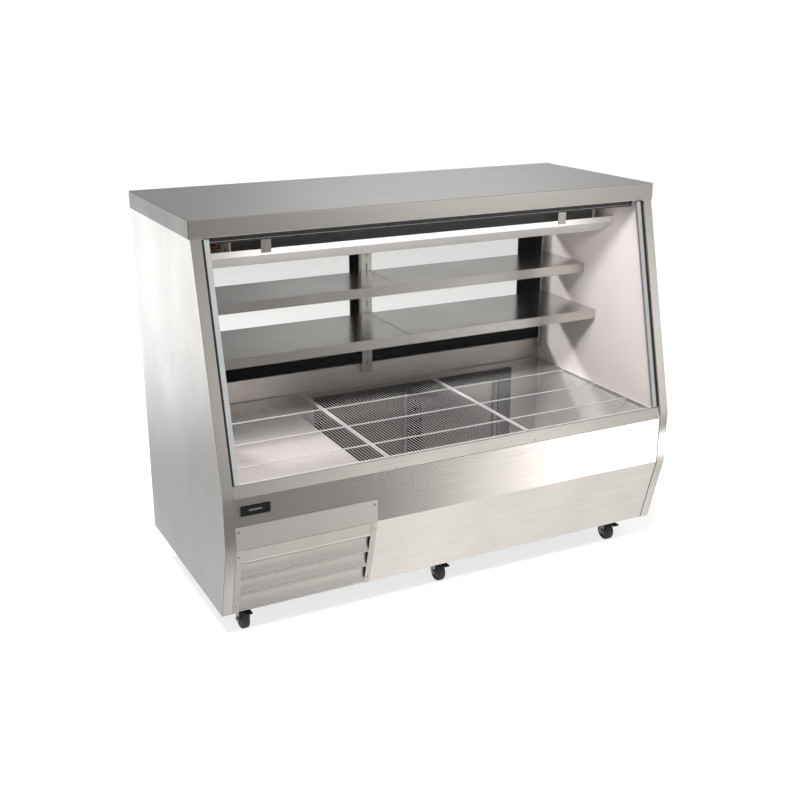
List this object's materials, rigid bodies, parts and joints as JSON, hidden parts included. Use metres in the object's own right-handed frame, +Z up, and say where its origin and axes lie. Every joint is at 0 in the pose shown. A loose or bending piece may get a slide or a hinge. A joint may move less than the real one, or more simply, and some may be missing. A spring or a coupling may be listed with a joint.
{
  "type": "refrigerated deli case",
  "caption": "Full-service refrigerated deli case with slanted front glass, stainless body, gravity coil, tiered shelves, wire deck, sliding rear doors and casters.",
  "frame": {"origin": "on the floor, under the middle of the case's bounding box", "axes": "+X along the case from the machine-compartment end to the other end, -Y towards the shopper (glass side), +Y towards the server, +Z up"},
  "size_m": [1.829, 0.904, 1.44],
  "materials": {
    "stainless": "satin",
    "shelf_steel": "satin",
    "white_liner": "satin",
    "liner_steel": "satin",
    "white_enamel": "satin",
    "black_plastic": "matte",
    "channel_aluminium": "satin",
    "clear_glass": "polished",
    "coil_fins": "matte",
    "white_wire": "satin",
    "black_enamel": "satin",
    "zinc": "satin",
    "black_rubber": "matte",
    "frame_steel": "matte",
    "lamp_lens": "gloss"
  },
  "bodies": {
    "cabinet": {"left_end_skin": "stainless", "right_end_skin": "stainless", "front_panel": "stainless", "louver_grille": "stainless", "front_ledge": "stainless", "worktop": "stainless", "rear_frame": "stainless", "rear_service_panel": "stainless", "left_upright": "stainless", "centre_upright": "stainless", "right_upright": "stainless", "upper_left_shelf": "shelf_steel", "upper_right_shelf": "shelf_steel", "lower_left_shelf": "shelf_steel", "lower_right_shelf": "shelf_steel", "left_end_liner": "white_liner", "right_end_liner": "white_liner", "worktop_core": "white_liner", "machine_cover": "white_liner", "insulated_tub": "liner_steel", "drip_pan": "white_enamel", "badge_plate": "black_plastic", "slide_track_frame": "black_plastic", "storage_frame": "black_plastic", "left_glass_channel": "channel_aluminium", "right_glass_channel": "channel_aluminium", "front_glass": "clear_glass", "evaporator_coil": "coil_fins", "condenser": "coil_fins", "compressor": "black_enamel", "fan_motor": "black_enamel", "base_frame": "frame_steel", "light_bar": "lamp_lens"},
    "left_slider": {"left_slide_door": "black_plastic", "left_slide_glass": "clear_glass"},
    "right_slider": {"right_slide_door": "black_plastic", "right_slide_glass": "clear_glass"},
    "left_storage": {"left_storage_door": "stainless"},
    "right_storage": {"right_storage_door": "stainless"},
    "left_rack": {"left_deck_rack": "white_wire"},
    "centre_rack": {"centre_deck_rack": "white_wire"},
    "right_rack": {"right_deck_rack": "white_wire"},
    "fan": {"fan_blade": "zinc"},
    "knob": {"thermostat_knob": "black_plastic"},
    "rocker": {"light_switch": "black_plastic"},
    "front_left_swivel": {"front_left_fork": "zinc"},
    "front_left_roller": {"front_left_wheel": "black_rubber"},
    "front_left_brake": {"front_left_pedal": "black_plastic"},
    "front_middle_swivel": {"front_middle_fork": "zinc"},
    "front_middle_roller": {"front_middle_wheel": "black_rubber"},
    "front_middle_brake": {"front_middle_pedal": "black_plastic"},
    "front_right_swivel": {"front_right_fork": "zinc"},
    "front_right_roller": {"front_right_wheel": "black_rubber"},
    "front_right_brake": {"front_right_pedal": "black_plastic"},
    "rear_left_swivel": {"rear_left_fork": "zinc"},
    "rear_left_roller": {"rear_left_wheel": "black_rubber"},
    "rear_middle_swivel": {"rear_middle_fork": "zinc"},
    "rear_middle_roller": {"rear_middle_wheel": "black_rubber"},
    "rear_right_swivel": {"rear_right_fork": "zinc"},
    "rear_right_roller": {"rear_right_wheel": "black_rubber"}
  },
  "joints": [
    {"name": "left_door_slide", "type": "slide", "parent": "cabinet", "child": "left_slider", "axis": [1, 0, 0], "range_m": [0, 0.79]},
    {"name": "right_door_slide", "type": "slide", "parent": "cabinet", "child": "right_slider", "axis": [-1, 0, 0], "range_m": [0, 0.77]},
    {"name": "left_storage_hinge", "type": "hinge", "parent": "cabinet", "child": "left_storage", "pos_m": [-0.181, 0.45, 0.3585], "axis": [0, 0, 1], "range_deg": [0, 110]},
    {"name": "right_storage_hinge", "type": "hinge", "parent": "cabinet", "child": "right_storage", "pos_m": [0.652, 0.45, 0.3585], "axis": [0, 0, -1], "range_deg": [0, 110]},
    {"name": "left_rack_lift", "type": "slide", "parent": "cabinet", "child": "left_rack", "axis": [0, 0, 1], "range_m": [0, 0.05]},
    {"name": "centre_rack_lift", "type": "slide", "parent": "cabinet", "child": "centre_rack", "axis": [0, 0, 1], "range_m": [0, 0.05]},
    {"name": "right_rack_lift", "type": "slide", "parent": "cabinet", "child": "right_rack", "axis": [0, 0, 1], "range_m": [0, 0.05]},
    {"name": "fan_spin", "type": "hinge", "parent": "cabinet", "child": "fan", "pos_m": [-0.655, -0.268, 0.312], "axis": [0, 1, 0], "continuous": true},
    {"name": "thermostat_turn", "type": "hinge", "parent": "cabinet", "child": "knob", "pos_m": [-0.52, 0.446, 0.415], "axis": [0, 1, 0], "range_deg": [-135, 135]},
    {"name": "light_switch_rock", "type": "hinge", "parent": "cabinet", "child": "rocker", "pos_m": [-0.43, 0.4411, 0.415], "axis": [1, 0, 0], "range_deg": [0, 16]},
    {"name": "front_left_swivel_turn", "type": "hinge", "parent": "cabinet", "child": "front_left_swivel", "pos_m": [-0.809, -0.262, 0.0975], "axis": [0, 0, 1], "continuous": true},
    {"name": "front_left_wheel_roll", "type": "hinge", "parent": "front_left_swivel", "child": "front_left_roller", "pos_m": [-0.809, -0.296, 0.038], "axis": [1, 0, 0], "continuous": true},
    {"name": "front_left_brake_press", "type": "hinge", "parent": "front_left_swivel", "child": "front_left_brake", "pos_m": [-0.809, -0.258, 0.083], "axis": [1, 0, 0], "range_deg": [-8, 0]},
    {"name": "front_middle_swivel_turn", "type": "hinge", "parent": "cabinet", "child": "front_middle_swivel", "pos_m": [-0.026, -0.262, 0.0975], "axis": [0, 0, 1], "continuous": true},
    {"name": "front_middle_wheel_roll", "type": "hinge", "parent": "front_middle_swivel", "child": "front_middle_roller", "pos_m": [-0.026, -0.296, 0.038], "axis": [1, 0, 0], "continuous": true},
    {"name": "front_middle_brake_press", "type": "hinge", "parent": "front_middle_swivel", "child": "front_middle_brake", "pos_m": [-0.026, -0.258, 0.083], "axis": [1, 0, 0], "range_deg": [-8, 0]},
    {"name": "front_right_swivel_turn", "type": "hinge", "parent": "cabinet", "child": "front_right_swivel", "pos_m": [0.763, -0.262, 0.0975], "axis": [0, 0, 1], "continuous": true},
    {"name": "front_right_wheel_roll", "type": "hinge", "parent": "front_right_swivel", "child": "front_right_roller", "pos_m": [0.763, -0.296, 0.038], "axis": [1, 0, 0], "continuous": true},
    {"name": "front_right_brake_press", "type": "hinge", "parent": "front_right_swivel", "child": "front_right_brake", "pos_m": [0.763, -0.258, 0.083], "axis": [1, 0, 0], "range_deg": [-8, 0]},
    {"name": "rear_left_swivel_turn", "type": "hinge", "parent": "cabinet", "child": "rear_left_swivel", "pos_m": [-0.809, 0.344, 0.0975], "axis": [0, 0, 1], "continuous": true},
    {"name": "rear_left_wheel_roll", "type": "hinge", "parent": "rear_left_swivel", "child": "rear_left_roller", "pos_m": [-0.809, 0.31, 0.038], "axis": [1, 0, 0], "continuous": true},
    {"name": "rear_middle_swivel_turn", "type": "hinge", "parent": "cabinet", "child": "rear_middle_swivel", "pos_m": [-0.026, 0.344, 0.0975], "axis": [0, 0, 1], "continuous": true},
    {"name": "rear_middle_wheel_roll", "type": "hinge", "parent": "rear_middle_swivel", "child": "rear_middle_roller", "pos_m": [-0.026, 0.31, 0.038], "axis": [1, 0, 0], "continuous": true},
    {"name": "rear_right_swivel_turn", "type": "hinge", "parent": "cabinet", "child": "rear_right_swivel", "pos_m": [0.763, 0.344, 0.0975], "axis": [0, 0, 1], "continuous": true},
    {"name": "rear_right_wheel_roll", "type": "hinge", "parent": "rear_right_swivel", "child": "rear_right_roller", "pos_m": [0.763, 0.31, 0.038], "axis": [1, 0, 0], "continuous": true}
  ]
}
